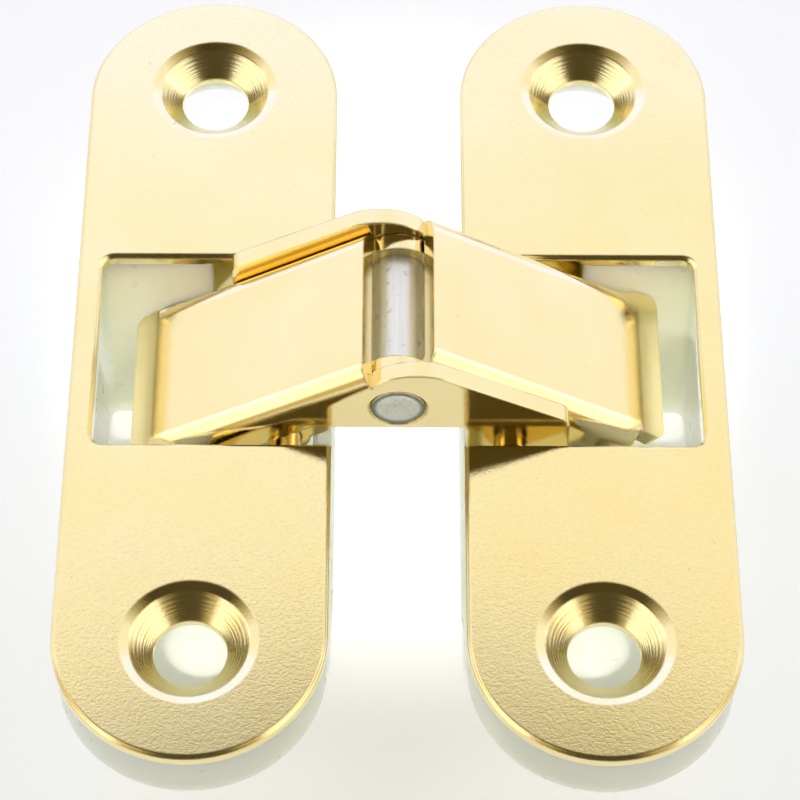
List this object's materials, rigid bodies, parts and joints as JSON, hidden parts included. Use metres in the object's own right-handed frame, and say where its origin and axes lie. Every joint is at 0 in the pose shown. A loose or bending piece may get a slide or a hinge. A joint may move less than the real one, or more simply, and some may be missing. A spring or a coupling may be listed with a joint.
{
  "type": "concealed hinge",
  "caption": "Concealed mortise hinge, shown open: stadium face plates on moulded housings, joined by interleaved folded arms that turn on a centre pin and fold away into the housings.",
  "frame": {"origin": "bottom centre of the open hinge, midway between the leaves at the foot of the housings", "axes": "+X from the left leaf to the right leaf, +Y along the plates, +Z out of the face plates"},
  "size_m": [0.05, 0.07, 0.0295],
  "materials": {
    "satin_gilt_steel": "satin gilt",
    "polished_gilt_steel": "polished gilt",
    "milky_plastic": "smooth, slightly translucent",
    "bright_steel": "bright"
  },
  "bodies": {
    "left_leaf": {"left_face_plate": "satin_gilt_steel", "left_housing": "milky_plastic", "left_pivot_pin": "polished_gilt_steel"},
    "right_arm": {"right_arm": "polished_gilt_steel", "right_slide_pin": "bright_steel", "centre_pin": "bright_steel"},
    "left_arm": {"left_arm": "polished_gilt_steel", "left_slide_pin": "bright_steel"},
    "right_leaf": {"right_face_plate": "satin_gilt_steel", "right_housing": "milky_plastic", "right_pivot_pin": "polished_gilt_steel"}
  },
  "joints": [
    {"name": "right_arm_swing", "type": "hinge", "parent": "left_leaf", "child": "right_arm", "pos_m": [-0.0086, 0, 0.0192], "axis": [0, -1, 0], "range_deg": [0, 120]},
    {"name": "centre_fold", "type": "hinge", "parent": "right_arm", "child": "left_arm", "pos_m": [0, 0, 0.02535], "axis": [0, -1, 0], "range_deg": [-60, 0]},
    {"name": "right_leaf_swing", "type": "hinge", "parent": "left_arm", "child": "right_leaf", "pos_m": [0.0086, 0, 0.0192], "axis": [0, -1, 0], "range_deg": [0, 120]}
  ],
  "couplings": [
    {"joint": "centre_fold", "follows": "right_arm_swing", "ratio": -0.5},
    {"joint": "right_leaf_swing", "follows": "right_arm_swing", "ratio": 1}
  ]
}
